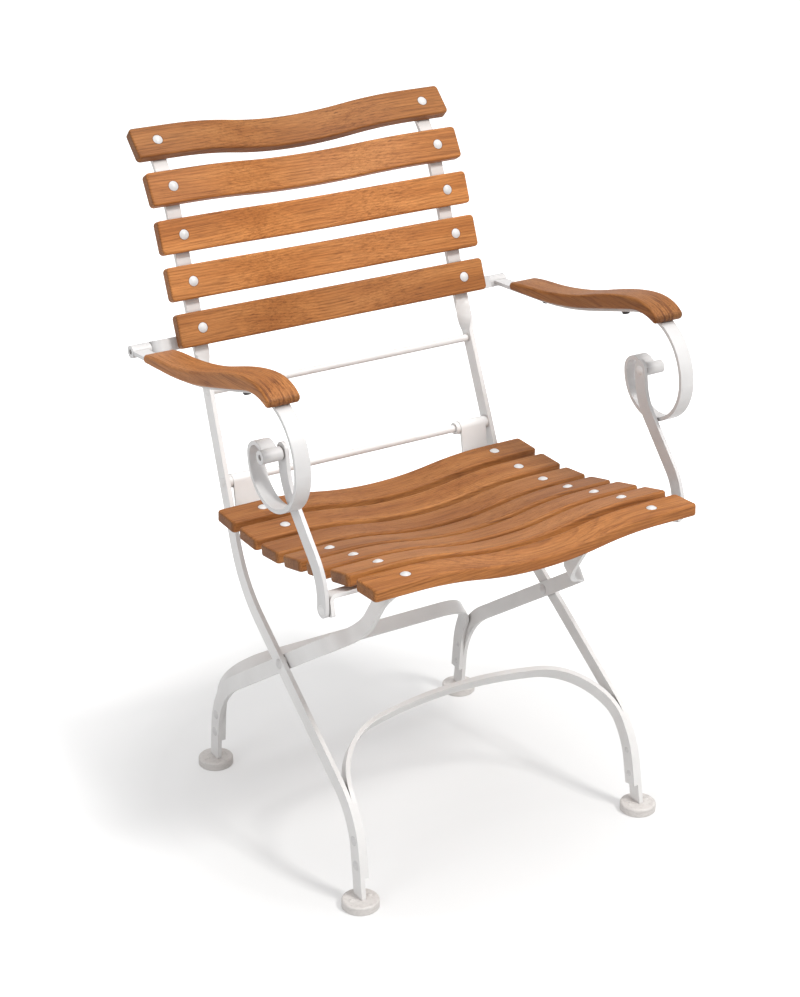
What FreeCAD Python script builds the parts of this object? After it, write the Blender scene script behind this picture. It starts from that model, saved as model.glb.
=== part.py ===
import FreeCAD, Part
import math
import os

# Folding armchair: flat steel bar frame, teak slats and armrests.
# Side view coordinates: y runs to the back from the leg pivot, z up from the floor.
# At the end everything is moved so that the origin is under the middle of the chair.

# Steel stock
bar_width = 20.0
bar_thick = 6.0
strap_thick = 5.0
rod_diameter = 10.0
rivet_shank = 5.0
rivet_head = 13.0
rivet_head_rise = 2.6
rivet_tail = 8.4
rivet_tail_rise = 1.6
edge_round = 3.0
skirt_depth = 0.8
section_spacing = 9.0

# Clearances
running_gap = 0.05
side_gap = 0.3
open_pivot_gap = 0.3

# Side bar: front leg, side and upright in one
leg_pivot_height = 249.0
front_foot_forward = 203.7
foot_lean = 9.0
side_lean = 54.6
back_lean = 21.0
upright_base_back = 138.5
upright_base_height = 420.0
leg_bend_radius = 110.0
hip_bend_radius = 180.0
crest_bend_radius = 210.0
crest_bend_lead = 30.0
upright_half_span = 201.3
front_foot_half_span = 218.0
lowest_back_slat_height = 633.9
twist_below_slats = 28.9
twist_top_height = lowest_back_slat_height - twist_below_slats
twist_length = 42.0
bar_end_margin = 22.0
bar_foot_lift = 3.0

# Back slats
back_slat_count = 5
back_slat_length = 470.0
back_slat_width = 44.0
back_slat_thick = 16.0
back_slat_pitch = 60.3
back_slat_bow = 22.0
slat_flat_start = 175.0
slat_edge_round = 3.2
slat_corner_round = 5.5

# Cross rods
upper_rod_below_twist = 48.0
upper_rod_height = twist_top_height - upper_rod_below_twist
hinge_height = 446.0

# Front arch between the front legs
arch_rivet_low = 54.3
arch_rivet_high = 86.4
arch_bottom_height = 38.0
arch_leave_height = 123.0
arch_crown_length = 240.0
arch_crown_radius = 655.0
arch_rivet_shank = 5.0

# Rear legs
rear_foot_back = 208.0
rear_foot_lean = 5.7
rear_side_rise = 33.5
rear_bend_radius = 130.0
leg_gap = 2.0
rear_bar_end = 82.0
rear_bar_foot_lift = 3.0

# Strap that joins the rear legs under the seat
strap_corner_forward = 104.9
strap_bend_radius = 130.0
strap_half_span = 153.0
strap_top_behind_bar = 33.38370
strap_top_below_rail = 19.88755
strap_end_straight = 33.99391
strap_corner_radius = 42.0

# Rear stretcher
stretcher_bottom_height = 42.0
stretcher_bend_height = 80.0
stretcher_bend_radius = 147.0
stretcher_lean = 45.0
stretcher_corner_radius = 60.0
stretcher_rivet_low = 53.2
stretcher_rivet_high = 82.0

# Foot glides
glide_diameter = 48.0
glide_height = 12.0
glide_round = 3.0
glide_chamfer = 1.0
glide_stud = 8.0
glide_stud_rise = 1.5
glide_stud_offset = 13.0

# Leg pivot
pivot_shank = 8.0
pivot_head = 14.0
pivot_head_rise = 3.4
pivot_washer = 20.0

# Seat
seat_slat_count = 7
seat_slat_length = 472.0
seat_slat_width = 44.0
seat_slat_thick = 16.0
seat_slat_pitch = 57.9
seat_slat_bow = 15.0
seat_rivet_half_span = 180.5
seat_first_rivet = 10.0
seat_bite = 50.0
seat_zero_ahead = 148.4804649109208
rail_thick = 5.0
rail_rear_back = 104.0
rail_dip_back = -21.0
rail_dip_below_hinge = 44.5
rail_dip_height = hinge_height - rail_dip_below_hinge
rail_nose_back = -218.0
rail_nose_above_hinge = 0.2
rail_nose_height = hinge_height + rail_nose_above_hinge
rail_front_back = -256.0
rail_rear_rise = 2.8
rail_front_rise = 2.0
rail_dip_radius = 467.0
rail_nose_radius = 250.0

# Seat hinge plates on the hinge rod
hinge_plate_width = 40.0
hinge_plate_outer = 197.0
hinge_plate_thick = 4.0
hinge_plate_drop_back = 135.0
hinge_plate_end_back = 60.0
hinge_plate_bend = 12.0
hinge_plate_roll = 285.0
collar_diameter = 17.0
collar_width = 6.0

# Front cross bar with ears for the arm supports
cross_bar_width = 24.0
cross_bar_back = -195.7
cross_bar_bend = 6.0
ear_drop = 18.0
ear_below_pivot = 9.0
ear_corner_round = 3.0
ear_pin = 7.0

# Arm bracket behind the upright
bracket_drop = 13.0
bracket_width = 17.0
bracket_bend = 10.0
bracket_setback = 21.0

# Arm bar, end tubes and scroll
arm_side_room = 43.0
arm_centre_span = seat_slat_length / 2.0 + arm_side_room
arm_tube_outer = 17.0
arm_tube_length = 27.0
front_tube_inset = 11.0
rear_tube_inset = 16.5
front_tube_span = arm_centre_span - front_tube_inset
rear_tube_span = arm_centre_span - rear_tube_inset
bracket_reach = rear_tube_span - side_gap - strap_thick / 2.0
hole_reach = 2.0 * arm_centre_span
arm_pin = 7.0
arm_pin_recess = 2.5
arm_pin_head = 10.0
arm_knee_forward = 177.9
arm_knee_rise = 9.1
arm_knee_radius = 570.0
scroll_front_radius = 78.0
scroll_bowl_radius = 59.0
scroll_rear_radius = 52.5
scroll_curl_radius = 18.5
scroll_curl_angle = 154.0
scroll_curl_back = 21.0
scroll_curl_drop = 9.0

# Armrest
armrest_width = 44.0
armrest_round = 4.0
armrest_front_reach = 25.5
armrest_rear_gap = 63.6
armrest_end_bulge = 0.35
armrest_depths = ((0.0, 12.0), (0.04, 15.0), (0.09, 16.2), (0.177, 18.3), (0.287, 20.2), (0.397, 19.6),
                  (0.518, 18.0), (0.66, 16.6), (0.805, 14.8), (0.92, 13.6), (1.0, 11.0))
arm_screw_shares = (0.268, 0.83)
arm_screw_diameter = 9.0
arm_screw_shank = 4.0
arm_screw_rise = 2.4
arm_screw_depth = 12.0

# Arm supports
support_gap = 2.0
ear_gap = 1.5
support_inner_span = front_tube_span - support_gap - strap_thick
cross_bar_ear_span = support_inner_span - ear_gap - strap_thick / 2.0
support_top_share = 0.226
support_bottom_share = 0.202
support_lean_in = 5.0
support_bend_share = 0.446
support_top_reach = 3.5
support_head = 13.0
support_washer = 14.0

sides = (("left", -1), ("right", 1))
quarter_turn = 90.0


# Plain vectors

def vec(x, y, z):
    return FreeCAD.Vector(x, y, z)


def side_view(x):
    return lambda a, b: vec(x, a, b)


def turned(pair):
    return (-pair[1], pair[0])


def unit(a, b):
    length = math.hypot(a, b)
    return (a / length, b / length)


def moved(point, direction, distance):
    return (point[0] + direction[0] * distance, point[1] + direction[1] * distance)


def crossing(p, d, q, e):
    # Point where the line from p along d meets the line from q along e
    k = ((q[0] - p[0]) * e[1] - (q[1] - p[1]) * e[0]) / (d[0] * e[1] - d[1] * e[0])
    return moved(p, d, k)


# A bar's centreline: straight pieces and tangent arcs in one plane

class Run:
    def __init__(self, start, heading):
        self.pieces = []
        self.end = start
        self.heading = heading
        self.length = 0.0

    def straight(self, distance):
        self.pieces.append(("line", self.end, self.heading, distance))
        self.end = moved(self.end, self.heading, distance)
        self.length += distance
        return self

    def arc(self, radius, turn):
        # A positive turn is to the left of the heading
        sign = 1.0 if turn > 0 else -1.0
        centre = moved(self.end, turned(self.heading), sign * radius)
        spoke = unit(self.end[0] - centre[0], self.end[1] - centre[1])
        start_angle = math.atan2(spoke[1], spoke[0])
        self.pieces.append(("arc", centre, radius, start_angle, math.radians(turn)))
        finish = start_angle + math.radians(turn)
        self.end = (centre[0] + radius * math.cos(finish), centre[1] + radius * math.sin(finish))
        heading = (-sign * math.sin(finish), sign * math.cos(finish))
        self.heading = heading
        self.length += radius * abs(math.radians(turn))
        return self

    def piece_length(self, piece):
        if piece[0] == "line":
            return piece[3]
        return piece[2] * abs(piece[4])

    def at(self, s):
        # Point and heading at a distance along the run
        rest = s
        for piece in self.pieces:
            size = self.piece_length(piece)
            last = piece is self.pieces[-1]
            if rest <= size or last:
                break
            rest -= size
        if piece[0] == "line":
            return moved(piece[1], piece[2], rest), piece[2]
        sign = 1.0 if piece[4] > 0 else -1.0
        angle = piece[3] + sign * rest / piece[2]
        point = (piece[1][0] + piece[2] * math.cos(angle), piece[1][1] + piece[2] * math.sin(angle))
        return point, (-sign * math.sin(angle), sign * math.cos(angle))

    def edges(self, offset, place):
        # Edges of the run moved sideways, left of the heading when positive
        result = []
        for piece in self.pieces:
            if piece[0] == "line":
                a = moved(piece[1], turned(piece[2]), offset)
                b = moved(a, piece[2], piece[3])
                result.append(Part.makeLine(place(*a), place(*b)))
            else:
                sign = 1.0 if piece[4] > 0 else -1.0
                radius = piece[2] - sign * offset
                spots = []
                for share in (0.0, 0.5, 1.0):
                    angle = piece[3] + piece[4] * share
                    spots.append(place(piece[1][0] + radius * math.cos(angle),
                                       piece[1][1] + radius * math.sin(angle)))
                result.append(Part.Arc(*spots).toShape())
        return result

    def distance_at_height(self, height):
        low = 0.0
        high = self.length
        for step in range(50):
            middle = (low + high) / 2.0
            if self.at(middle)[0][1] < height:
                low = middle
            else:
                high = middle
        return low


def run_through(points, radii):
    # A run along a chain of corners, each rounded by its radius
    first = unit(points[1][0] - points[0][0], points[1][1] - points[0][1])
    run = Run(points[0], first)
    for index in range(1, len(points) - 1):
        corner = points[index]
        after = unit(points[index + 1][0] - corner[0], points[index + 1][1] - corner[1])
        cross = run.heading[0] * after[1] - run.heading[1] * after[0]
        dot = run.heading[0] * after[0] + run.heading[1] * after[1]
        turn = math.degrees(math.atan2(cross, dot))
        tangent = radii[index - 1] * math.tan(math.radians(abs(turn)) / 2.0)
        ahead = math.hypot(corner[0] - run.end[0], corner[1] - run.end[1])
        run.straight(ahead - tangent)
        run.arc(radii[index - 1], turn)
    last = points[-1]
    run.straight(math.hypot(last[0] - run.end[0], last[1] - run.end[1]))
    return run


def outline(run, half, place, round_start=False, round_end=False):
    # Closed face of a run with a width on both sides
    left = run.edges(half, place)
    right = run.edges(-half, place)
    caps = []
    for s, rounded, outward in ((0.0, round_start, -1.0), (run.length, round_end, 1.0)):
        point, heading = run.at(s)
        a = place(*moved(point, turned(heading), half))
        b = place(*moved(point, turned(heading), -half))
        if rounded:
            tip = place(*moved(point, heading, outward * half))
            caps.append(Part.Arc(a, tip, b).toShape())
        else:
            caps.append(Part.makeLine(a, b))
    wire = Part.Wire(Part.__sortEdges__(left + right + caps))
    return Part.Face(wire)


def edgewise_bar(run, x, width, thick, round_start=False, round_end=False):
    # Flat bar bent in the plane of its wide face, which faces sideways
    face = outline(run, width / 2.0, side_view(x - thick / 2.0), round_start, round_end)
    return face.extrude(vec(thick, 0, 0))


def flatwise_bar(run, x, width, thick):
    # Flat bar whose wide face follows the run, with its width across the chair
    face = outline(run, thick / 2.0, side_view(x - width / 2.0))
    return face.extrude(vec(width, 0, 0))


def rectangle(centre, along, across, half_along, half_across):
    corners = []
    for a, b in ((-1, -1), (1, -1), (1, 1), (-1, 1)):
        corners.append(centre + along * (a * half_along) + across * (b * half_across))
    return Part.makePolygon(corners + [corners[0]])


def wrapped_bar(profile, plan, width, thick):
    # Flat bar that lies in the bent sheet of a side view profile, following a
    # plan drawn on the unrolled sheet: plan is (x, distance along the profile)
    solids = []
    start = 0.0
    for piece in plan.pieces:
        size = plan.piece_length(piece)
        count = max(2, int(math.ceil(size / section_spacing)))
        sections = []
        for index in range(count + 1):
            (x, s), (hx, hs) = plan.at(start + size * index / count)
            (y, z), (ty, tz) = profile.at(s)
            inward = vec(-hs, hx * ty, hx * tz)
            across = vec(0, -tz, ty)
            sections.append(rectangle(vec(x, y, z), inward, across, thick / 2.0, width / 2.0))
        solids.append(Part.makeLoft(sections, True, False))
        start += size
    return solids[0].fuse(solids[1:]).removeSplitter()


def mirrored(shape):
    return shape.mirror(vec(0, 0, 0), vec(1, 0, 0))


def pin(start, direction, length, diameter):
    return Part.makeCylinder(diameter / 2.0, length, start, direction)


def dome(base, direction, diameter, rise):
    # Spherical cap with its flat side at the base point
    radius = (diameter * diameter / 4.0 + rise * rise) / (2.0 * rise)
    centre = base + direction * (rise - radius)
    ball = Part.makeSphere(radius, centre)
    keep = pin(base, direction, rise * 2.0, diameter * 1.2)
    return ball.common(keep)


def rivet(base, direction, length, shank, head, head_rise, tail, tail_rise):
    # Head sits at the base point facing against the direction
    body = pin(base, direction, length, shank)
    body = body.fuse(dome(base, direction * -1.0, head, head_rise))
    if tail_rise > 0:
        body = body.fuse(dome(base + direction * length, direction, tail, tail_rise))
    return body.removeSplitter()


# Side view geometry of the side bars

def lean_heading(degrees):
    return (math.sin(math.radians(degrees)), math.cos(math.radians(degrees)))


leg_pivot = (0.0, leg_pivot_height)
front_foot = (-front_foot_forward, 0.0)
knee = crossing(front_foot, lean_heading(foot_lean), leg_pivot, lean_heading(side_lean))
upright_base = (upright_base_back, upright_base_height)
hip = crossing(leg_pivot, lean_heading(side_lean), upright_base, lean_heading(back_lean))


def upright_at(height):
    # Point on the straight part of the upright's centreline
    return moved(upright_base, lean_heading(back_lean),
                 (height - upright_base_height) / math.cos(math.radians(back_lean)))


twist_top = upright_at(twist_top_height)
slat_base = upright_at(lowest_back_slat_height)
hinge = upright_at(hinge_height)
upper_rod = upright_at(upper_rod_height)
seat_zero = hinge[0] - seat_zero_ahead
bar_foot = moved(front_foot, lean_heading(foot_lean), bar_foot_lift / math.cos(math.radians(foot_lean)))
splay = math.degrees(math.atan((front_foot_half_span - upright_half_span) / twist_top_height))

# Lower run from the foot to the bottom of the twist, upper run above the twist
twist_bottom = moved(twist_top, lean_heading(back_lean), -twist_length)
side_run = run_through([bar_foot, knee, hip, twist_bottom], [leg_bend_radius, hip_bend_radius])
straight_above = math.hypot(slat_base[0] - twist_top[0], slat_base[1] - twist_top[1])
straight_above += back_slat_pitch * 2.0 + crest_bend_lead
bend_length = back_slat_pitch * (back_slat_count - 3) - crest_bend_lead + bar_end_margin
crest_turn = math.degrees(bend_length / crest_bend_radius)
upright_run = Run(twist_top, lean_heading(back_lean))
upright_run.straight(straight_above)
upright_run.arc(crest_bend_radius, -crest_turn)
first_slat_distance = math.hypot(slat_base[0] - twist_top[0], slat_base[1] - twist_top[1])


def back_slat_place(number):
    # Centreline point, upward tangent and forward normal at one back slat, from the bottom
    point, heading = upright_run.at(first_slat_distance + back_slat_pitch * number)
    return point, heading, turned(heading)


def splayed(shape):
    # Tilt of a lower bar about the twist, so that the feet stand wider
    result = shape.copy()
    result.rotate(vec(upright_half_span, twist_top[0], twist_top[1]), vec(0, 1, 0), -splay)
    return result


def bar_centre_span(height):
    # Half distance between the centres of the side bars at a height
    if height > twist_top_height:
        return upright_half_span
    return upright_half_span + (twist_top_height - height) * math.tan(math.radians(splay))


def twist():
    sections = []
    steps = 9
    tangent = lean_heading(back_lean)
    normal = turned(tangent)
    for index in range(steps + 1):
        share = index / steps
        angle = math.radians(90.0 * share)
        centre = moved(twist_bottom, tangent, twist_length * share)
        wide = vec(math.sin(angle), normal[0] * math.cos(angle), normal[1] * math.cos(angle))
        thin = vec(math.cos(angle), -normal[0] * math.sin(angle), -normal[1] * math.sin(angle))
        wire = rectangle(vec(upright_half_span, centre[0], centre[1]), wide, thin,
                         bar_width / 2.0, bar_thick / 2.0)
        if index < steps:
            wire = splayed(wire)
        sections.append(wire)
    return Part.makeLoft(sections, True, False)


def side_bar():
    lower = splayed(edgewise_bar(side_run, upright_half_span, bar_width, bar_thick))
    upper = flatwise_bar(upright_run, upright_half_span, bar_width, bar_thick)
    upper = rounded_top(upper)
    return lower.fuse([twist(), upper]).removeSplitter()


def rounded_top(bar):
    # Round the two corners at the top end of the upright
    point, heading = upright_run.at(upright_run.length)
    tip = vec(upright_half_span, point[0], point[1])
    chosen = []
    for edge in bar.Edges:
        middle = edge.CenterOfMass
        near = (middle - tip).Length < bar_width * 0.55
        short = abs(edge.Length - bar_thick) < 0.01
        if near and short:
            chosen.append(edge)
    return bar.makeFillet(edge_round * 2.0, chosen)


# Glides under the feet

def glide(x, y, bar):
    body = Part.makeCylinder(glide_diameter / 2.0, glide_height, vec(x, y, 0))
    top = [edge for edge in body.Edges if edge.CenterOfMass.z > glide_height - 0.01]
    body = body.makeFillet(glide_round, top)
    bottom = [edge for edge in body.Edges if edge.CenterOfMass.z < 0.01]
    body = body.makeChamfer(glide_chamfer, bottom)
    for sign in (-1, 1):
        spot = vec(x + sign * glide_stud_offset, y, glide_height)
        body = body.fuse(dome(spot, vec(0, 0, 1), glide_stud, glide_stud_rise))
    return body.removeSplitter().cut(bar)


# Slats

def bowed_outline(half_length, flat_start, bow, thick, place):
    # Closed face of a slat seen on its long edge: flat ends, two arcs to a bowed middle
    half = flat_start / 2.0
    turn = math.degrees(2.0 * math.atan(bow / flat_start))
    radius = half / math.sin(math.radians(turn))
    run = Run((-half_length, 0.0), (1.0, 0.0))
    run.straight(half_length - flat_start)
    run.arc(radius, -turn)
    run.arc(radius, turn)
    run.arc(radius, turn)
    run.arc(radius, -turn)
    run.straight(half_length - flat_start)
    return outline(run, thick / 2.0, place)


def slat(length, width, thick, bow):
    # Slat lying flat: length along x, width along y, top face at z = 0 at its ends
    face = bowed_outline(length / 2.0, slat_flat_start, bow, thick,
                         lambda a, b: vec(a, -width / 2.0, b - thick / 2.0))
    body = face.extrude(vec(0, width, 0))
    corners = [edge for edge in body.Edges if abs(edge.tangentAt(edge.FirstParameter).z) > 0.99]
    body = body.makeFillet(slat_corner_round, corners)
    rim = []
    for edge in body.Edges:
        direction = edge.tangentAt(edge.FirstParameter)
        inside = abs(edge.CenterOfMass.x) < length / 2.0 - slat_corner_round
        seam = inside and abs(direction.y) > 0.99
        if not seam and abs(direction.z) < 0.99:
            rim.append(edge)
    return body.makeFillet(slat_edge_round, rim)


def placed(shape, origin, x_axis, y_axis, z_axis):
    matrix = FreeCAD.Matrix(x_axis.x, y_axis.x, z_axis.x, origin.x,
                            x_axis.y, y_axis.y, z_axis.y, origin.y,
                            x_axis.z, y_axis.z, z_axis.z, origin.z,
                            0, 0, 0, 1)
    result = shape.copy()
    result.Placement = FreeCAD.Placement(matrix)
    return result


# Rear leg geometry

rear_foot = (rear_foot_back, 0.0)
rear_side_heading = (-math.cos(math.radians(rear_side_rise)), math.sin(math.radians(rear_side_rise)))
rear_foot_heading = lean_heading(-rear_foot_lean)
rear_knee = crossing(rear_foot, rear_foot_heading, leg_pivot, rear_side_heading)
rear_bar_foot = moved(rear_foot, rear_foot_heading, rear_bar_foot_lift)
rear_bar_tip = moved(leg_pivot, rear_side_heading, rear_bar_end)
rear_run = run_through([rear_bar_foot, rear_knee, rear_bar_tip], [rear_bend_radius])
rear_half_span = bar_centre_span(leg_pivot_height) - bar_thick - leg_gap


def strap_profile():
    # Side view of the strap from the tip of the rear legs up under the rails, behind the cross bar
    corner = moved(leg_pivot, rear_side_heading, strap_corner_forward / -rear_side_heading[0])
    bar_point, rail_heading, rail_up = cross_bar_place()
    top = moved(moved(bar_point, rail_heading, -strap_top_behind_bar), rail_up, -strap_top_below_rail)
    return run_through([rear_bar_tip, corner, top], [strap_bend_radius])


def joggle(run, shift, length):
    # S bend to the left by a shift over a length
    turn = math.degrees(2.0 * math.atan(shift / length))
    radius = abs((length / 2.0) / math.sin(math.radians(turn)))
    run.arc(radius, turn)
    run.arc(radius, -turn)
    return run


def rear_strap():
    profile = strap_profile()
    joggle_length = profile.length - strap_end_straight - strap_corner_radius
    plan = Run((rear_half_span, 0.0), (0.0, 1.0))
    joggle(plan, rear_half_span - strap_half_span, joggle_length)
    plan.straight(strap_end_straight)
    plan.arc(strap_corner_radius, quarter_turn)
    plan.straight(2.0 * (strap_half_span - strap_corner_radius))
    plan.arc(strap_corner_radius, quarter_turn)
    plan.straight(strap_end_straight)
    joggle(plan, -(rear_half_span - strap_half_span), joggle_length)
    return wrapped_bar(profile, plan, bar_width, bar_thick)


def stretcher_profile():
    start = moved(rear_foot, rear_foot_heading, stretcher_bottom_height / rear_foot_heading[1])
    run = Run(start, rear_foot_heading)
    run.straight((stretcher_bend_height - stretcher_bottom_height) / rear_foot_heading[1])
    run.arc(stretcher_bend_radius, stretcher_lean - rear_foot_lean)
    return run


def rear_stretcher():
    profile = stretcher_profile()
    span = rear_half_span - bar_thick - running_gap
    plan = Run((span, 0.0), (0.0, 1.0))
    plan.straight(profile.length - stretcher_corner_radius)
    plan.arc(stretcher_corner_radius, quarter_turn)
    plan.straight(2.0 * (span - stretcher_corner_radius))
    plan.arc(stretcher_corner_radius, quarter_turn)
    plan.straight(profile.length - stretcher_corner_radius)
    return wrapped_bar(profile, plan, bar_width, bar_thick)


def arch_profile():
    # The arch follows the front leg's centreline, from its lower end past the crown
    start = moved(front_foot, lean_heading(foot_lean), arch_bottom_height / math.cos(math.radians(foot_lean)))
    return run_through([start, knee, leg_pivot], [leg_bend_radius])


def front_arch():
    profile = arch_profile()
    inset = bar_thick + running_gap
    low = bar_centre_span(arch_bottom_height) - inset
    leave = bar_centre_span(arch_leave_height) - inset
    leave_distance = profile.distance_at_height(arch_leave_height)
    crown = arch_crown_length - arch_bottom_height
    side = unit(leave - low, leave_distance)
    side_angle = math.degrees(math.atan2(side[1], side[0]))
    # Corner arc and crown arc share a tangent where the corner arc ends
    rise = crown - leave_distance
    corner_turn, corner_radius = arch_corner(leave, rise, side_angle - 90.0)
    plan = Run((low, 0.0), side)
    plan.straight(math.hypot(leave - low, leave_distance))
    plan.arc(corner_radius, corner_turn)
    crown_turn = 2.0 * (180.0 - (side_angle + corner_turn))
    plan.arc(arch_crown_radius, crown_turn)
    plan.arc(corner_radius, corner_turn)
    plan.straight(math.hypot(leave - low, leave_distance))
    return wrapped_bar(profile, plan, bar_width, bar_thick)


def arch_corner(half_span, rise, tilt):
    # Radius and turn of the corner arcs that fit the crown arc to the legs
    low = 20.0
    high = rise
    start = math.radians(tilt)
    for step in range(60):
        radius = (low + high) / 2.0
        # Centre of the corner arc, then the crown centre on the middle plane
        cx = half_span - radius * math.cos(start)
        cs = -radius * math.sin(start)
        gap = arch_crown_radius - radius
        depth = math.sqrt(max(gap * gap - cx * cx, 0.0))
        top = cs - depth + arch_crown_radius
        if top < rise:
            low = radius
        else:
            high = radius
    turn = 90.0 - math.degrees(math.asin(cx / gap)) - tilt
    return turn, radius


# Seat geometry

def seat_line():
    # Centreline of the seat rails in side view, from the rear end to the front end
    rear_heading = (-math.cos(math.radians(rail_rear_rise)), -math.sin(math.radians(rail_rear_rise)))
    dip = (seat_zero + rail_dip_back, rail_dip_height)
    rear = moved(dip, rear_heading, -(rail_rear_back - rail_dip_back) / math.cos(math.radians(rail_rear_rise)))
    nose = (seat_zero + rail_nose_back, rail_nose_height)
    front_heading = (-math.cos(math.radians(rail_front_rise)), math.sin(math.radians(rail_front_rise)))
    front = moved(nose, front_heading, (rail_nose_back - rail_front_back) / -front_heading[0])
    return run_through([rear, dip, nose, front], [rail_dip_radius, rail_nose_radius])


rail_run = seat_line()


def seat_slat_place(number):
    # Slat place counted from the rear: point on the rail centreline, heading and upward normal
    point, heading = rail_run.at(seat_first_rivet + seat_slat_pitch * number)
    return point, heading, (heading[1], -heading[0])


def seat_distance(back):
    # Distance along the rail to a side view y
    low = 0.0
    high = rail_run.length
    for step in range(50):
        middle = (low + high) / 2.0
        if rail_run.at(middle)[0][0] > seat_zero + back:
            low = middle
        else:
            high = middle
    return low


def seat_rail(x):
    return flatwise_bar(rail_run, x, bar_width, rail_thick)


def seat_slat(number):
    point, heading, up = seat_slat_place(number)
    origin = moved(point, up, rail_thick / 2.0 + seat_slat_thick)
    body = slat(seat_slat_length, seat_slat_width, seat_slat_thick, seat_slat_bow)
    return placed(body, vec(0, *origin), vec(1, 0, 0), vec(0, -heading[0], -heading[1]), vec(0, *up))


def seat_rivet(number, x):
    # Head on top of the slat, tail under the rail or under what lies beneath it
    point, heading, up = seat_slat_place(number)
    base = moved(point, up, rail_thick / 2.0 + seat_slat_thick)
    length = seat_slat_thick + rail_thick
    if number == 0:
        length += hinge_plate_thick
    if number == seat_slat_count - 2:
        length += strap_thick
    down = vec(0, -up[0], -up[1])
    return rivet(vec(x, *base), down, length, rivet_shank, rivet_head, rivet_head_rise,
                 rivet_tail, rivet_tail_rise)


def hinge_plate(x):
    # Rolled round the hinge rod, down behind the rear slat, then forward under the rail
    inner = rod_diameter / 2.0 + running_gap
    radius = inner + hinge_plate_thick / 2.0
    under = rail_thick / 2.0 + hinge_plate_thick / 2.0
    end_point, end_heading = rail_run.at(seat_distance(hinge_plate_end_back))
    rear_point, rear_heading = rail_run.at(0.0)
    end = moved(end_point, (end_heading[1], -end_heading[0]), -under)
    line = moved(rear_point, (rear_heading[1], -rear_heading[0]), -under)
    corner = crossing(line, rear_heading, (seat_zero + hinge_plate_drop_back, 0.0), (0.0, 1.0))
    # The straight drop is tangent to the roll on its front side
    dx = corner[0] - hinge[0]
    dz = corner[1] - hinge[1]
    distance = math.hypot(dx, dz)
    tangent_angle = math.atan2(dz, dx) - math.acos(radius / distance)
    touch = (hinge[0] + radius * math.cos(tangent_angle), hinge[1] + radius * math.sin(tangent_angle))
    begin = tangent_angle - math.radians(hinge_plate_roll)
    start = (hinge[0] + radius * math.cos(begin), hinge[1] + radius * math.sin(begin))
    run = Run(start, (-math.sin(begin), math.cos(begin)))
    run.arc(radius, hinge_plate_roll)
    drop = math.hypot(corner[0] - touch[0], corner[1] - touch[1])
    after = unit(end[0] - corner[0], end[1] - corner[1])
    cross = run.heading[0] * after[1] - run.heading[1] * after[0]
    dot = run.heading[0] * after[0] + run.heading[1] * after[1]
    turn = math.degrees(math.atan2(cross, dot))
    setback = hinge_plate_bend * math.tan(math.radians(abs(turn)) / 2.0)
    run.straight(drop - setback)
    run.arc(hinge_plate_bend, turn)
    run.straight(math.hypot(end[0] - run.end[0], end[1] - run.end[1]))
    return flatwise_bar(run, x, hinge_plate_width, hinge_plate_thick)


def cross_bar_place():
    # Point on the rails' underside, heading and upward normal where the cross bar crosses
    point, heading = rail_run.at(seat_distance(cross_bar_back))
    up = (heading[1], -heading[0])
    return moved(point, up, -rail_thick / 2.0), heading, up


def cross_bar():
    # Bowed strap under the rails, its two ends bent down as ears for the supports
    half = slat_flat_start / 2.0
    turn = math.degrees(2.0 * math.atan(seat_slat_bow / slat_flat_start))
    radius = half / math.sin(math.radians(turn))
    flat = cross_bar_ear_span - slat_flat_start - cross_bar_bend
    drop = ear_drop + ear_below_pivot - strap_thick / 2.0 - cross_bar_bend
    run = Run((-cross_bar_ear_span, -cross_bar_bend - drop), (0.0, 1.0))
    run.straight(drop)
    run.arc(cross_bar_bend, -90.0)
    run.straight(flat)
    run.arc(radius, -turn)
    run.arc(radius, turn)
    run.arc(radius, turn)
    run.arc(radius, -turn)
    run.straight(flat)
    run.arc(cross_bar_bend, -90.0)
    run.straight(drop)
    face = outline(run, strap_thick / 2.0, lambda a, b: vec(a, -cross_bar_width / 2.0, b - strap_thick / 2.0))
    body = face.extrude(vec(0, cross_bar_width, 0))
    chosen = []
    for edge in body.Edges:
        sideways = abs(edge.tangentAt(edge.FirstParameter).x) > 0.99
        low = edge.CenterOfMass.z < -ear_drop
        if sideways and low:
            chosen.append(edge)
    body = body.makeFillet(ear_corner_round, chosen)
    for sign in (-1, 1):
        hole = pin(vec(sign * (cross_bar_ear_span - strap_thick), 0, -ear_drop), vec(sign, 0, 0),
                   strap_thick * 2.0, ear_pin + 2.0 * open_pivot_gap)
        body = body.cut(hole)
    point, heading, up = cross_bar_place()
    return placed(body, vec(0, *point), vec(1, 0, 0), vec(0, -heading[0], -heading[1]), vec(0, *up))


ear_pivot = moved(cross_bar_place()[0], cross_bar_place()[2], -ear_drop)


# Arm linkage: arm pivot, front pivot, hinge and ear pivot form a parallelogram

bracket_point = moved(slat_base, lean_heading(back_lean), -bracket_drop)
rearward = (math.cos(math.radians(back_lean)), -math.sin(math.radians(back_lean)))
arm_pivot = moved(bracket_point, rearward, bracket_setback)
front_pivot = (arm_pivot[0] + ear_pivot[0] - hinge[0], arm_pivot[1] + ear_pivot[1] - hinge[1])


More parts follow.
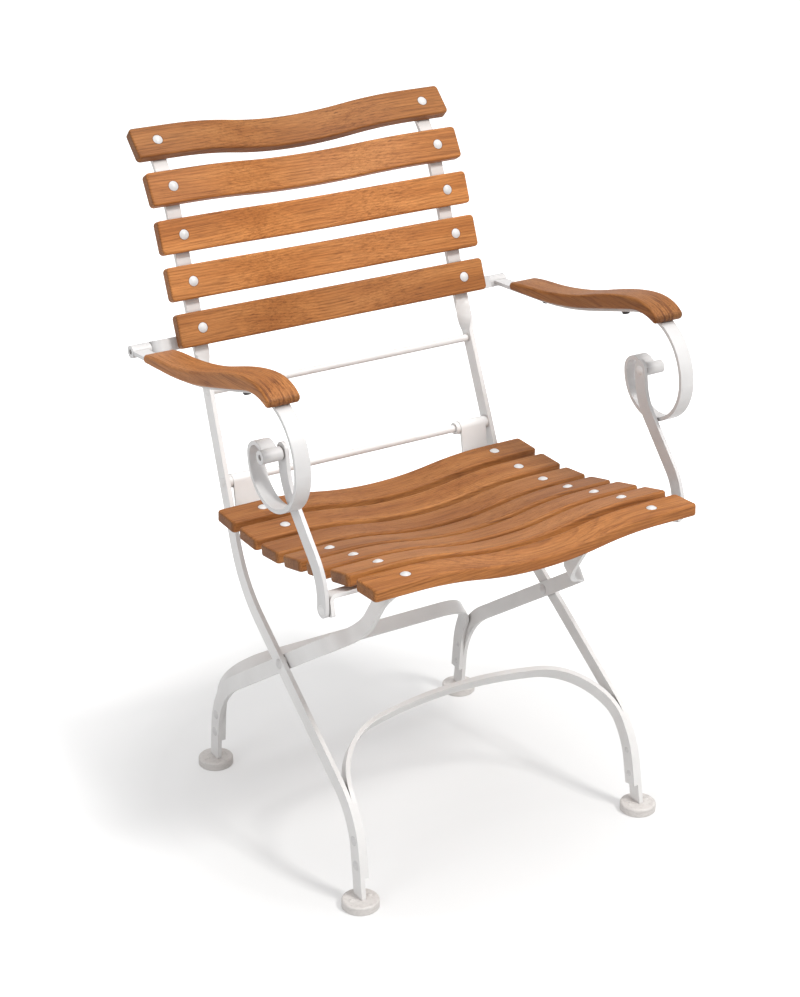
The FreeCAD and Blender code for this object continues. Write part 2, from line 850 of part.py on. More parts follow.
def arm_bracket():
    # Strap on the back of the upright, out past the slats and bent back to a lug
    start = (upright_half_span - bar_width / 2.0, bar_thick / 2.0 + strap_thick / 2.0 + running_gap)
    corner = (bracket_reach, start[1])
    end = (bracket_reach, bracket_setback)
    run = run_through([start, corner, end], [bracket_bend])
    face = outline(run, strap_thick / 2.0, lambda a, b: vec(a, b, -bracket_width / 2.0))
    body = face.extrude(vec(0, 0, bracket_width))
    lug = pin(vec(bracket_reach - strap_thick / 2.0, bracket_setback, 0), vec(1, 0, 0), strap_thick, bracket_width)
    body = body.fuse(lug).removeSplitter()
    body = placed(body, vec(0, *bracket_point), vec(1, 0, 0), vec(0, *rearward), vec(0, *lean_heading(back_lean)))
    hole = pin(vec(bracket_reach - strap_thick, *arm_pivot), vec(1, 0, 0), strap_thick * 2.0, arm_pin)
    return body.cut(hole)


def tube(start):
    outer = pin(start, vec(1, 0, 0), arm_tube_length, arm_tube_outer)
    return outer.cut(pin(start, vec(1, 0, 0), arm_tube_length, arm_pin + 2.0 * running_gap))


def arm_run():
    # From the front tube back through the scroll, under the armrest, to the rear tube
    curl = (front_pivot[0] + scroll_curl_back, front_pivot[1] - scroll_curl_drop)
    begin = math.radians(scroll_curl_angle)
    start = (curl[0] + scroll_curl_radius * math.cos(begin), curl[1] + scroll_curl_radius * math.sin(begin))
    run = Run(start, (math.sin(begin), -math.cos(begin)))
    run.arc(scroll_curl_radius, -scroll_curl_angle)
    run.arc(scroll_rear_radius, -90.0)
    run.arc(scroll_bowl_radius, -90.0)
    centre = (run.end[0] + scroll_front_radius, run.end[1])
    knee_point = (arm_pivot[0] - arm_knee_forward, arm_pivot[1] + arm_knee_rise)
    dx = knee_point[0] - centre[0]
    dz = knee_point[1] - centre[1]
    touch = math.atan2(dz, dx) + math.acos(scroll_front_radius / math.hypot(dx, dz))
    run.arc(scroll_front_radius, -(180.0 - math.degrees(touch)))
    tail = run_through([run.end, knee_point, arm_pivot], [arm_knee_radius])
    run.pieces += tail.pieces
    run.length += tail.length
    run.end = tail.end
    run.heading = tail.heading
    return run


arm_path = arm_run()


def arm_bar(rest_screws):
    body = flatwise_bar(arm_path, arm_centre_span, bar_width, strap_thick)
    for pivot, inner in ((arm_pivot, rear_tube_span), (front_pivot, front_tube_span)):
        start = vec(inner, *pivot)
        body = body.cut(pin(start, vec(1, 0, 0), arm_tube_length, arm_tube_outer))
        body = body.fuse(tube(start))
    body = body.removeSplitter()
    for screw in rest_screws:
        body = body.cut(screw)
    return body


def armrest():
    # Teak rest on top of the arm bar: its underside is the bar's own curve
    front, rear = armrest_ends()
    place = side_view(arm_centre_span - armrest_width / 2.0)
    edges = armrest_underside(front, rear, place)
    crown = []
    for share, depth in armrest_depths:
        crown.append(above_bar(front + (rear - front) * share, depth))
    top = Part.BSplineCurve()
    top.interpolate([place(*point) for point in crown])
    edges.append(top.toShape())
    for s, point, outward in ((front, crown[0], -1.0), (rear, crown[-1], 1.0)):
        low = above_bar(s, 0.0)
        heading = arm_path.at(s)[1]
        middle = ((low[0] + point[0]) / 2.0, (low[1] + point[1]) / 2.0)
        bulge = moved(middle, heading, outward * math.hypot(low[0] - point[0], low[1] - point[1]) * armrest_end_bulge)
        edges.append(Part.Arc(place(*low), place(*bulge), place(*point)).toShape())
    face = Part.Face(Part.Wire(Part.__sortEdges__(edges)))
    body = face.extrude(vec(armrest_width, 0, 0))
    rim = []
    for edge in body.Edges:
        direction = edge.tangentAt((edge.FirstParameter + edge.LastParameter) / 2.0)
        if abs(direction.x) < 0.5:
            rim.append(edge)
    return body.makeFillet(armrest_round, rim)


def armrest_ends():
    # Distances along the arm bar to the front and the rear end of the armrest
    return arm_distance(front_pivot[0] - armrest_front_reach), arm_distance(arm_pivot[0] - armrest_rear_gap)


def above_bar(s, depth):
    # Point at a height above the arm bar's upper face
    point, heading = arm_path.at(s)
    return moved(point, turned(heading), strap_thick / 2.0 + depth)


def armrest_underside(front, rear, place):
    # The stretch of the arm bar's upper face between two distances, as true lines and arcs
    edges = []
    start = 0.0
    for piece in arm_path.pieces:
        size = arm_path.piece_length(piece)
        low = max(front, start)
        high = min(rear, start + size)
        if high - low > 0.001:
            ends = [place(*above_bar(s, 0.0)) for s in (low, (low + high) / 2.0, high)]
            if piece[0] == "line":
                edges.append(Part.makeLine(ends[0], ends[2]))
            else:
                edges.append(Part.Arc(*ends).toShape())
        start += size
    return edges


def arm_distance(back):
    # Distance along the arm bar, past the scroll, to a side view y
    low = arm_path.piece_length(arm_path.pieces[0]) + arm_path.piece_length(arm_path.pieces[1])
    low += arm_path.piece_length(arm_path.pieces[2])
    high = arm_path.length
    for step in range(50):
        middle = (low + high) / 2.0
        if arm_path.at(middle)[0][0] < back:
            low = middle
        else:
            high = middle
    return low


def arm_screw(share):
    # Screw from below through the arm bar into the armrest
    front, rear = armrest_ends()
    point, heading = arm_path.at(front + (rear - front) * share)
    up = turned(heading)
    base = moved(point, up, -strap_thick / 2.0)
    start = vec(arm_centre_span, *base)
    direction = vec(0, *up)
    body = pin(start, direction, strap_thick + arm_screw_depth, arm_screw_shank)
    return body.fuse(dome(start, direction * -1.0, arm_screw_diameter, arm_screw_rise)).removeSplitter()


def arm_support():
    # S shaped flat bar from the scroll's tube down to the ear of the seat's cross bar
    height = front_pivot[1] - ear_pivot[1]
    upper = (front_pivot[0] - support_lean_in, front_pivot[1] - height * support_top_share)
    lower = (ear_pivot[0] - support_lean_in / 3.0, ear_pivot[1] + height * support_bottom_share)
    bend = height * support_bend_share
    upward = unit(front_pivot[0] - upper[0], front_pivot[1] - upper[1])
    run = run_through([moved(front_pivot, upward, support_top_reach), upper, lower, ear_pivot], [bend, bend])
    x = support_inner_span + strap_thick / 2.0
    body = edgewise_bar(run, x, bar_width, strap_thick, True, True)
    for pivot, diameter in ((front_pivot, arm_pin), (ear_pivot, ear_pin)):
        start = vec(support_inner_span - strap_thick, *pivot)
        body = body.cut(pin(start, vec(1, 0, 0), strap_thick * 3.0, diameter))
    return body


def support_top_pin():
    start = vec(support_inner_span, *front_pivot)
    length = front_tube_span + arm_tube_length - arm_pin_recess - support_inner_span
    body = pin(start, vec(1, 0, 0), length, arm_pin)
    head = dome(start, vec(-1, 0, 0), support_head, rivet_head_rise)
    collar_start = start + vec(strap_thick, 0, 0)
    collar = pin(collar_start, vec(1, 0, 0), support_gap - side_gap, support_head)
    return body.fuse([head, collar]).removeSplitter()


def support_bottom_pin():
    # Bolt head outside the support, shank through the ear, rivetted over inside
    outer = support_inner_span + strap_thick
    inner = cross_bar_ear_span - strap_thick / 2.0 - side_gap
    body = pin(vec(inner, *ear_pivot), vec(1, 0, 0), outer - inner, ear_pin)
    head = dome(vec(outer, *ear_pivot), vec(1, 0, 0), support_head, rivet_head_rise)
    tail = dome(vec(inner, *ear_pivot), vec(-1, 0, 0), support_head - 1.0, rivet_tail_rise)
    washer_start = cross_bar_ear_span + strap_thick / 2.0 + side_gap
    washer = pin(vec(washer_start, *ear_pivot), vec(1, 0, 0), support_inner_span - washer_start, support_washer)
    return body.fuse([head, tail, washer]).removeSplitter()


def arm_pivot_pin():
    lug_inner = bracket_reach - strap_thick / 2.0
    start = vec(lug_inner, *arm_pivot)
    length = rear_tube_span + arm_tube_length - arm_pin_recess - lug_inner
    body = pin(start, vec(1, 0, 0), length, arm_pin)
    head = dome(start, vec(-1, 0, 0), arm_pin_head, rivet_tail_rise)
    return body.fuse(head).removeSplitter()


# Cross rods with riveted ends

def cross_rod(point):
    # Rod through both side bars with a domed head formed on each end
    face = bar_face_span(point[1])
    body = pin(vec(-face, *point), vec(1, 0, 0), 2.0 * face, rod_diameter)
    for sign in (-1, 1):
        start = vec(sign * (face - skirt_depth), *point)
        head = dome(vec(sign * face, *point), vec(sign, 0, 0), rivet_head, rivet_head_rise)
        body = body.fuse([head, pin(start, vec(sign, 0, 0), skirt_depth, rivet_head)])
    return body.removeSplitter()


def bar_face_span(height):
    return bar_centre_span(height) + bar_thick / 2.0


def hinge_collar():
    inner = hinge_plate_outer - hinge_plate_width - side_gap
    ring = pin(vec(inner - collar_width, *hinge), vec(1, 0, 0), collar_width, collar_diameter)
    return ring.cut(pin(vec(inner - collar_width, *hinge), vec(1, 0, 0), collar_width, rod_diameter))


def washer(point, inner, diameter, hole):
    # Ring from a distance out to the tilted inner face of the side bar
    start = vec(inner, *point)
    size = 2.0 * diameter
    ring = pin(start, vec(1, 0, 0), diameter, diameter)
    ring = ring.cut(pin(start, vec(1, 0, 0), diameter, hole))
    bar_face = vec(upright_half_span - bar_thick / 2.0, point[0] - diameter, point[1] - diameter)
    return ring.cut(splayed(Part.makeBox(2.0 * size, size, size, bar_face)))


def leg_pivot_rivet():
    # Shank through both legs, domed outside and inside
    outer = bar_face_span(leg_pivot_height)
    inner = rear_half_span - bar_thick / 2.0 - side_gap
    body = pin(vec(inner, *leg_pivot), vec(1, 0, 0), outer - inner, pivot_shank)
    outer_head = dome(vec(outer, *leg_pivot), vec(1, 0, 0), pivot_head, pivot_head_rise)
    skirt = pin(vec(outer - skirt_depth, *leg_pivot), vec(1, 0, 0), skirt_depth, pivot_head)
    inner_head = dome(vec(inner, *leg_pivot), vec(-1, 0, 0), pivot_head, pivot_head_rise)
    return body.fuse([outer_head, skirt, inner_head]).removeSplitter()


def back_rivet(number, x):
    point, heading, forward = back_slat_place(number)
    base = moved(point, forward, bar_thick / 2.0 + back_slat_thick)
    tail_rise = rivet_tail_rise if number > 0 else 0.0
    return rivet(vec(x, *base), vec(0, -forward[0], -forward[1]), back_slat_thick + bar_thick, rivet_shank,
                 rivet_head, rivet_head_rise, rivet_tail, tail_rise)


def back_slat(number):
    point, heading, forward = back_slat_place(number)
    origin = moved(point, forward, bar_thick / 2.0 + back_slat_thick)
    body = slat(back_slat_length, back_slat_width, back_slat_thick, back_slat_bow)
    return placed(body, vec(0, *origin), vec(1, 0, 0), vec(0, *heading), vec(0, *forward))


def arch_rivet(height):
    # Across the arch end and the front leg
    point = side_run.at(side_run.distance_at_height(height))[0]
    face = bar_face_span(height)
    inner = bar_centre_span(height) - bar_thick * 1.5 - running_gap
    return side_rivet(point, inner, face)


def side_rivet(point, inner, face):
    body = pin(vec(inner, *point), vec(1, 0, 0), face - inner, arch_rivet_shank)
    outer_head = dome(vec(face, *point), vec(1, 0, 0), rivet_head, rivet_head_rise)
    skirt = pin(vec(face - skirt_depth, *point), vec(1, 0, 0), skirt_depth, rivet_head)
    inner_head = dome(vec(inner, *point), vec(-1, 0, 0), rivet_tail, rivet_tail_rise)
    inner_skirt = pin(vec(inner, *point), vec(1, 0, 0), skirt_depth, rivet_tail)
    return body.fuse([outer_head, skirt, inner_head, inner_skirt]).removeSplitter()


def stretcher_rivet(height):
    point = rear_run.at(rear_run.distance_at_height(height))[0]
    face = rear_half_span + bar_thick / 2.0
    inner = rear_half_span - bar_thick * 1.5 - running_gap
    return side_rivet(point, inner, face)


def rear_leg():
    body = edgewise_bar(rear_run, rear_half_span, bar_width, bar_thick)
    hole = pin(vec(rear_half_span - bar_thick, *leg_pivot), vec(1, 0, 0), bar_thick * 2.0,
               pivot_shank + 2.0 * running_gap)
    return body.cut(hole)


def pair(shape):
    return Part.makeCompound([mirrored(shape), shape])


def drilled(body, tools):
    for tool in tools:
        body = body.cut(tool)
    return body


def shank_of(point, diameter):
    # Hole through one side
    return pin(vec(0, *point), vec(1, 0, 0), hole_reach, diameter)


def hole_across(point, diameter):
    # Hole through both sides
    return pin(vec(-hole_reach, *point), vec(1, 0, 0), 2.0 * hole_reach, diameter)


def build_frame(nodes):
    bar = side_bar()
    arch_points = [side_run.at(side_run.distance_at_height(h))[0] for h in (arch_rivet_low, arch_rivet_high)]
    holes = [shank_of(leg_pivot, pivot_shank), shank_of(hinge, rod_diameter), shank_of(upper_rod, rod_diameter)]
    holes += [shank_of(point, arch_rivet_shank) for point in arch_points]
    bar = drilled(bar, holes)
    slat_rivets = []
    for number in range(back_slat_count):
        slat_rivets.append(pair(back_rivet(number, upright_half_span)))
        bar = bar.cut(shank_along(number, upright_half_span))
    nodes["side_bar_right"] = bar
    nodes["side_bar_left"] = mirrored(bar)
    both = [bar, nodes["side_bar_left"]]
    nodes["upper_rod"] = drilled(cross_rod(upper_rod), both)
    nodes["hinge_rod"] = drilled(cross_rod(hinge), both)
    nodes["hinge_rod_collars"] = pair(hinge_collar())
    plate_side = hinge_plate_outer + side_gap
    nodes["hinge_rod_washers"] = pair(washer(hinge, plate_side, collar_diameter, rod_diameter))
    for number in range(back_slat_count):
        body = back_slat(number)
        for x in (-upright_half_span, upright_half_span):
            body = body.cut(shank_along(number, x))
        nodes["back_slat_%d" % (number + 1)] = body
    nodes["back_slat_rivets"] = Part.makeCompound(slat_rivets)
    arch = front_arch()
    rivets = [arch_rivet(h) for h in (arch_rivet_low, arch_rivet_high)]
    for point in arch_points:
        arch = arch.cut(hole_across(point, arch_rivet_shank))
    arch = drilled(arch, both)
    nodes["front_arch"] = arch
    rivets = [drilled(shape, [bar, arch]) for shape in rivets]
    nodes["front_arch_rivets"] = Part.makeCompound([pair(shape) for shape in rivets])
    foot = glide(front_foot_half_span, -front_foot_forward, bar)
    nodes["front_foot_right"] = foot
    nodes["front_foot_left"] = mirrored(foot)
    bracket = arm_bracket()
    nodes["arm_bracket_right"] = bracket
    nodes["arm_bracket_left"] = mirrored(bracket)
    nodes["arm_pivot_pins"] = pair(arm_pivot_pin())
    nodes["leg_pivot_rivets"] = pair(leg_pivot_rivet().cut(bar))
    leg_side = rear_half_span + bar_thick / 2.0 + side_gap
    nodes["leg_pivot_washers"] = pair(washer(leg_pivot, leg_side, pivot_washer, pivot_shank))


def shank_along(number, x):
    # Hole through the upright and the slat at one back slat
    point, heading, forward = back_slat_place(number)
    base = moved(point, forward, -bar_thick)
    return pin(vec(x, *base), vec(0, *forward), back_slat_thick + bar_thick * 3.0, rivet_shank)


def build_rear(nodes):
    leg = rear_leg()
    points = [rear_run.at(rear_run.distance_at_height(h))[0] for h in (stretcher_rivet_low, stretcher_rivet_high)]
    leg = drilled(leg, [shank_of(point, arch_rivet_shank) for point in points])
    nodes["rear_leg_right"] = leg
    nodes["rear_leg_left"] = mirrored(leg)
    nodes["rear_top_strap"] = rear_strap()
    stretcher = rear_stretcher()
    for point in points:
        stretcher = stretcher.cut(hole_across(point, arch_rivet_shank))
    nodes["rear_stretcher"] = stretcher
    rivets = [stretcher_rivet(h) for h in (stretcher_rivet_low, stretcher_rivet_high)]
    rivets = [drilled(shape, [leg, stretcher]) for shape in rivets]
    nodes["rear_stretcher_rivets"] = Part.makeCompound([pair(shape) for shape in rivets])
    foot = glide(rear_half_span, rear_foot_back, leg)
    nodes["rear_foot_right"] = foot
    nodes["rear_foot_left"] = mirrored(foot)


def seat_hole(number, x):
    point, heading, up = seat_slat_place(number)
    base = moved(point, up, -bar_width)
    return pin(vec(x, *base), vec(0, *up), bar_width * 3.0, rivet_shank)


def build_seat(nodes):
    span = seat_rivet_half_span
    rail = seat_rail(span)
    plate = hinge_plate(hinge_plate_outer - hinge_plate_width / 2.0)
    bar = cross_bar()
    rivets = []
    for number in range(seat_slat_count):
        body = seat_slat(number)
        for x in (-span, span):
            hole = seat_hole(number, x)
            body = body.cut(hole)
            if number == seat_slat_count - 2:
                bar = bar.cut(hole)
        rail = rail.cut(seat_hole(number, span))
        if number == 0:
            plate = plate.cut(seat_hole(number, span))
        if body.common(rail).Volume > seat_bite:
            body = drilled(body, [rail, mirrored(rail)])
        nodes["seat_slat_%d" % (number + 1)] = body
        rivets.append(pair(seat_rivet(number, span)))
    nodes["seat_rail_right"] = rail
    nodes["seat_rail_left"] = mirrored(rail)
    nodes["hinge_plate_right"] = plate
    nodes["hinge_plate_left"] = mirrored(plate)
    nodes["seat_cross_bar"] = drilled(bar, [rail, mirrored(rail)])
    nodes["seat_slat_rivets"] = Part.makeCompound(rivets)


def build_arms(nodes):
    screws = [arm_screw(share) for share in arm_screw_shares]
    bar = arm_bar(screws)
    rest = drilled(armrest(), screws + [bar])
    support = arm_support()
    for side, sign in sides:
        pieces = {"arm_bar": bar, "armrest": rest, "arm_screws": Part.makeCompound(screws)}
        pieces["arm_support"] = support
        pieces["support_top_pin"] = support_top_pin()
        pieces["support_bolt"] = support_bottom_pin()
        for name, shape in pieces.items():
            nodes[name + "_" + side] = shape if sign > 0 else mirrored(shape)


def build_all():
    nodes = {}
    build_frame(nodes)
    build_rear(nodes)
    build_seat(nodes)
    build_arms(nodes)
    return nodes


def solids_only(shape):
    solids = shape.Solids
    if len(solids) == 1:
        return solids[0]
    return Part.makeCompound(solids)


def export_all():
    os.makedirs("parts", exist_ok=True)
    nodes = build_all()
    whole = Part.makeCompound(list(nodes.values()))
    box = whole.optimalBoundingBox(False, False)
    shift = vec(0, -(box.YMin + box.YMax) / 2.0, 0)
    for name, shape in nodes.items():
        final = solids_only(shape.copy())
        final.translate(shift)
        final.exportStep("parts/" + name + ".step")
    print("size", box.XLength, box.YLength, box.ZLength)
    for name, point in (("leg_pivot", leg_pivot), ("seat_hinge", hinge), ("arm_pivot", arm_pivot),
                        ("front_pivot", front_pivot), ("ear_pivot", ear_pivot)):
        print(name, "y %.3f z %.3f" % (point[0] + shift.y, point[1]))


export_all()
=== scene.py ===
import math
import bmesh
import bpy
from mathutils import Matrix


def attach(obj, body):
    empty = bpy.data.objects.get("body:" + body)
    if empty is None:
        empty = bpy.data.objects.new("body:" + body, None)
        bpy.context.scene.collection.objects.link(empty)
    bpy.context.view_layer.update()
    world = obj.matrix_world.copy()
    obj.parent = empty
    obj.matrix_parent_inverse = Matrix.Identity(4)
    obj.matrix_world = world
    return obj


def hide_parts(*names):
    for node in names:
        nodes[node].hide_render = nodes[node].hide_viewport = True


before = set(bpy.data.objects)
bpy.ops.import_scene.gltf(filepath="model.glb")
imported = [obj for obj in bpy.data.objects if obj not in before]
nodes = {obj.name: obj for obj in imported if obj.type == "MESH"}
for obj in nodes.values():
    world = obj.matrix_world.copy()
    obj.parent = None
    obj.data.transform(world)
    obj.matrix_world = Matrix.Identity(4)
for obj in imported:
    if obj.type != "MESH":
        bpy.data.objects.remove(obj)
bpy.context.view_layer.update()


def grey(v):
    return (v, v, v)


def link(tree, source, target):
    tree.links.new(source, target)


def put(tree, kind, **values):
    # new node, with its settings and the values of its sockets
    node = tree.nodes.new(kind)
    for key, value in values.items():
        if hasattr(node, key):
            setattr(node, key, value)
        else:
            node.inputs[key.replace("_", " ")].default_value = value
    return node


def blankMaterial(name):
    material = bpy.data.materials.new(name)
    material.use_nodes = True
    tree = material.node_tree
    tree.nodes.clear()
    surface = tree.nodes.new("ShaderNodeOutputMaterial").inputs["Surface"]
    return material, tree, surface


def finishMaterial(name):
    material, tree, surface = blankMaterial(name)
    shader = tree.nodes.new("ShaderNodeBsdfPrincipled")
    link(tree, shader.outputs["BSDF"], surface)
    return material, tree, shader


def coordinates(tree, kind):
    return tree.nodes.new("ShaderNodeTexCoord").outputs[kind]


def mapped(tree, vector, location=(0, 0, 0), rotation=(0, 0, 0), scale=(1, 1, 1)):
    node = put(tree, "ShaderNodeMapping", Location=location, Rotation=rotation, Scale=scale)
    link(tree, vector, node.inputs["Vector"])
    return node.outputs["Vector"]


def apart(tree, vector):
    node = tree.nodes.new("ShaderNodeSeparateXYZ")
    link(tree, vector, node.inputs[0])
    return node.outputs


def noise(tree, vector, scale, detail, rough):
    node = put(tree, "ShaderNodeTexNoise", Scale=scale, Detail=detail, Roughness=rough)
    link(tree, vector, node.inputs["Vector"])
    return node.outputs["Fac"]


def ramp(tree, source, stops):
    node = tree.nodes.new("ShaderNodeValToRGB")
    bar = node.color_ramp
    while len(bar.elements) < len(stops):
        bar.elements.new(0.5)
    for element, (place, colour) in zip(bar.elements, stops):
        element.position = place
        element.color = (*colour, 1.0)
    link(tree, source, node.inputs["Fac"])
    return node.outputs["Color"]


def ranged(tree, source, span, result=(0.0, 1.0)):
    # a value moved from one range to another
    node = put(tree, "ShaderNodeMapRange", From_Min=span[0], From_Max=span[1],
               To_Min=result[0], To_Max=result[1])
    link(tree, source, node.inputs["Value"])
    return node.outputs["Result"]


def computed(tree, operation, *terms):
    node = put(tree, "ShaderNodeMath", operation=operation)
    for socket, term in zip(node.inputs, terms):
        if isinstance(term, float):
            socket.default_value = term
        else:
            link(tree, term, socket)
    return node.outputs["Value"]


def bumped(tree, shader, height, strength, distance):
    node = put(tree, "ShaderNodeBump", Strength=strength, Distance=distance)
    link(tree, height, node.inputs["Height"])
    link(tree, node.outputs["Normal"], shader.inputs["Normal"])


mixSockets = {"first": 6, "second": 7, "result": 2}  # the colour sockets of a Mix node


def multiplied(tree, first, second, share):
    node = put(tree, "ShaderNodeMix", data_type="RGBA", blend_type="MULTIPLY", Factor=share)
    link(tree, first, node.inputs[mixSockets["first"]])
    link(tree, second, node.inputs[mixSockets["second"]])
    return node.outputs[mixSockets["result"]]


# Teak: solid wood, so the same rings show as streaks on the faces and as rings on the ends
teak = {
    "deep": (0.382, 0.132, 0.030),
    "middle": (0.478, 0.180, 0.046),
    "light": (0.570, 0.234, 0.068),
    "bands": {"deep": 0.30, "middle": 0.50, "light": 0.72},
    "ringScale": 88.0,              # rings about 3.6 mm apart
    "ringWobble": 2.0,
    "ringDetail": 2.0,
    "ringDetailScale": 0.3,
    "ringWander": 0.034,            # how far the log's axis strays
    "grain": {                      # layer: stretch along the fibres, scale, detail, roughness
        "drift": (0.12, 5.0, 1.0, 0.55),
        "broad": (0.06, 46.0, 2.0, 0.55),
        "streak": (0.022, 520.0, 4.0, 0.62),
        "fine": (0.035, 1500.0, 2.0, 0.60),
        "vein": (0.014, 560.0, 1.0, 0.50),
        "pores": (0.06, 1900.0, 1.0, 0.50),
    },
    "shades": {                     # layer: share, stops; sawn ends drink more oil
        "rings": (0.80, [(0.0, grey(1.0)), (0.62, grey(0.98)), (0.90, (0.68, 0.62, 0.57)),
                         (1.0, grey(0.97))]),
        "streak": (0.95, [(0.36, (0.66, 0.62, 0.58)), (0.48, grey(0.97)), (0.66, grey(1.10))]),
        "fine": (0.85, [(0.34, grey(0.80)), (0.60, grey(1.05))]),
        "vein": (0.70, [(0.27, (0.52, 0.46, 0.42)), (0.34, grey(1.0))]),
        "pores": (0.50, [(0.29, grey(0.45)), (0.36, grey(1.0))]),
        "ends": (1.0, [(0.55, grey(1.0)), (0.90, grey(0.66))]),
    },
    "roughness": (0.62, 0.46),      # in the dark streaks, and between them
    "specular": 0.28,
    "streakHeight": 0.8,            # beside the pores' depth
    "bumpStrength": 0.32,
    "bumpDepth": 0.00025,
    "rivetAside": {"back": 0.2013, "seat": 0.1805},
    "rivetShadowRing": (0.0064, 0.0078),  # painted contact shadow round each rivet head
    "rivetShadowStops": [(0.0, (0.30, 0.26, 0.24)), (1.0, grey(1.0))],
    "noseStart": (-0.138, -0.160),  # weathered lines fade in over this stretch of an armrest
    "noseStretch": 0.06,
    "noseGrain": (330.0, 2.0, 0.50),
    "noseStops": [(0.40, (0.56, 0.48, 0.42)), (0.50, grey(1.0))],
    "boards": {                     # board: place in the log, tilt, tone, rivet's y and z on its face
        "back_slat_1": ((0.31, -0.080, -0.56), (0.010, 0.020, 0.014), 0.85, (0.1628, 0.6407)),
        "back_slat_2": ((1.27, -0.200, -0.46), (-0.02, -0.012, 0.020), 1.03, (0.1844, 0.6970)),
        "back_slat_3": ((2.11, -0.190, -0.56), (0.015, 0.016, -0.018), 1.10, (0.2060, 0.7533)),
        "back_slat_4": ((3.43, -0.260, -0.58), (0.0, -0.022, -0.010), 0.95, (0.2307, 0.8112)),
        "back_slat_5": ((4.05, -0.250, -0.66), (0.02, 0.014, 0.012), 0.71, (0.2706, 0.8632)),
        "seat_slat_1": ((5.20, 0.150, -0.42), (0.0, 0.020, 0.022), 0.76, (0.0530, 0.4256)),
        "seat_slat_2": ((6.34, 0.210, -0.44), (0.01, -0.016, 0.014), 0.79, (-0.0046, 0.4228)),
        "seat_slat_3": ((7.18, -0.130, -0.40), (-0.01, 0.012, -0.020), 0.75, (-0.0601, 0.4244)),
        "seat_slat_4": ((8.72, 0.330, -0.41), (0.0, -0.020, 0.012), 0.72, (-0.1151, 0.4327)),
        "seat_slat_5": ((9.36, 0.280, -0.40), (0.012, 0.018, 0.020), 0.79, (-0.1714, 0.4455)),
        "seat_slat_6": ((10.4, 0.050, -0.43), (0.0, -0.014, -0.016), 0.83, (-0.2278, 0.4583)),
        "seat_slat_7": ((11.9, 0.260, -0.37), (0.008, 0.026, 0.022), 0.90, (-0.2886, 0.4658)),
        "armrest_left": ((12.6, 0.440, -0.66), (0.03, 0.05, 1.571), 0.89, None),
        "armrest_right": ((13.8, -0.130, -0.64), (-0.03, 0.05, 1.571), 0.65, None),
    },
}


def grain(tree, log, layer):
    # noise drawn out along the fibres
    stretch, scale, detail, rough = teak["grain"][layer]
    return noise(tree, mapped(tree, log, scale=(stretch, 1.0, 1.0)), scale, detail, rough)


def growthRings(tree, log):
    # rings round the log's axis, drifting along it
    wander = put(tree, "ShaderNodeVectorMath", operation="MULTIPLY_ADD")
    link(tree, grain(tree, log, "drift"), wander.inputs[0])
    wander.inputs[1].default_value = (0.0, teak["ringWander"], teak["ringWander"])
    link(tree, log, wander.inputs[2])
    rings = put(tree, "ShaderNodeTexWave", wave_type="RINGS", rings_direction="X", wave_profile="SAW",
                Scale=teak["ringScale"], Distortion=teak["ringWobble"], Detail=teak["ringDetail"],
                Detail_Scale=teak["ringDetailScale"])
    link(tree, wander.outputs["Vector"], rings.inputs["Vector"])
    return rings.outputs["Fac"]


def facingAlong(tree, axis):
    # 1 on the two sawn ends, 0 on the sides
    return computed(tree, "ABSOLUTE", apart(tree, coordinates(tree, "Normal"))[axis])


def paintedRivetShadow(tree, here, aside, place):
    # painted shadow: a thin dark line round the rivet heads on the wood, the same at both ends of a slat
    parts = apart(tree, here)
    folded = tree.nodes.new("ShaderNodeCombineXYZ")
    link(tree, computed(tree, "ABSOLUTE", parts["X"]), folded.inputs["X"])
    link(tree, parts["Y"], folded.inputs["Y"])
    link(tree, parts["Z"], folded.inputs["Z"])
    gap = put(tree, "ShaderNodeVectorMath", operation="DISTANCE")
    link(tree, folded.outputs["Vector"], gap.inputs[0])
    gap.inputs[1].default_value = (aside, *place)
    return ramp(tree, ranged(tree, gap.outputs["Value"], teak["rivetShadowRing"]), teak["rivetShadowStops"])


def noseShade(tree, here):
    # weather opens the grain where an armrest bends down at the front
    stretched = mapped(tree, here, scale=(1.0, teak["noseStretch"], teak["noseStretch"]))
    opened = ramp(tree, noise(tree, stretched, *teak["noseGrain"]), teak["noseStops"])
    blend = put(tree, "ShaderNodeMix", data_type="RGBA")
    link(tree, ranged(tree, apart(tree, here)["Y"], teak["noseStart"]), blend.inputs["Factor"])
    blend.inputs[mixSockets["first"]].default_value = (*grey(1.0), 1.0)
    link(tree, opened, blend.inputs[mixSockets["second"]])
    return blend.outputs[mixSockets["result"]]


